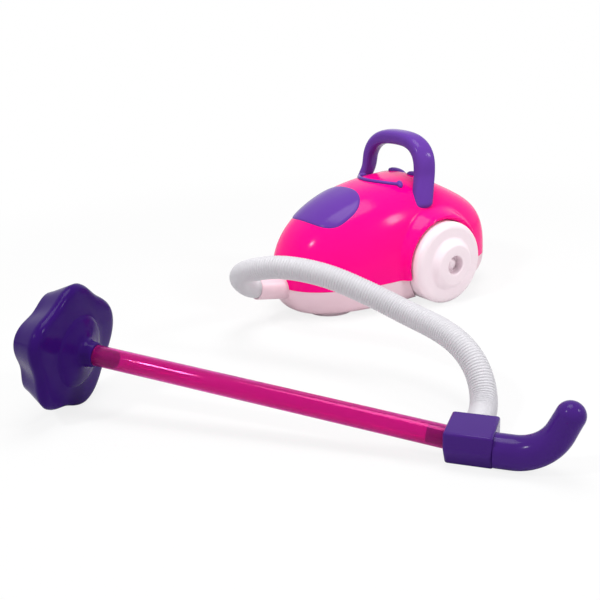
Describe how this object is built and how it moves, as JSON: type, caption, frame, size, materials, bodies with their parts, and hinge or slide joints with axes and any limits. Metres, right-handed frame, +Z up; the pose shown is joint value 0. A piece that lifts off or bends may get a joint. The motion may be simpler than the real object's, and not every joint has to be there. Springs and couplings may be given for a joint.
{
  "type": "toy vacuum cleaner",
  "caption": "Child's pretend canister vacuum cleaner with rolling rear wheels, carry handle, ribbed hose, clear wand tube, bent grip and flower-shaped floor nozzle.",
  "frame": {"origin": "middle of the front rest pad's underside, on the floor", "axes": "+X to the canister's left side, +Y from the nose to the tail, +Z up"},
  "size_m": [0.5707, 0.6318, 0.1989],
  "materials": {
    "pink_abs": "glossy moulded",
    "white_pp": "glossy moulded, slightly milky",
    "purple_abs": "glossy moulded",
    "violet_abs": "glossy moulded",
    "hose_pe": "corrugated, satin",
    "clear_magenta": "see-through tinted",
    "steel": "drawn rod"
  },
  "bodies": {
    "canister": {"body_shell": "pink_abs", "base_tray": "white_pp", "front_pad": "white_pp", "nose_panel": "purple_abs", "smile_trim": "purple_abs", "left_eye": "purple_abs", "right_eye": "purple_abs", "carry_handle": "purple_abs", "left_lock_pin": "steel", "right_lock_pin": "steel", "rear_axle": "steel", "left_axle_cap": "white_pp", "right_axle_cap": "white_pp", "base_screws": "steel", "hose_cuff": "white_pp", "hose": "hose_pe", "hose_coupler": "purple_abs", "grip": "purple_abs", "wand_tube": "clear_magenta", "flower_nozzle": "violet_abs"},
    "left_wheel": {"left_wheel": "white_pp"},
    "right_wheel": {"right_wheel": "white_pp"}
  },
  "joints": [
    {"name": "left_wheel_spin", "type": "hinge", "parent": "canister", "child": "left_wheel", "pos_m": [0.073, 0.12, 0.05], "axis": [1, 0, 0], "continuous": true},
    {"name": "right_wheel_spin", "type": "hinge", "parent": "canister", "child": "right_wheel", "pos_m": [-0.073, 0.12, 0.05], "axis": [1, 0, 0], "continuous": true}
  ]
}
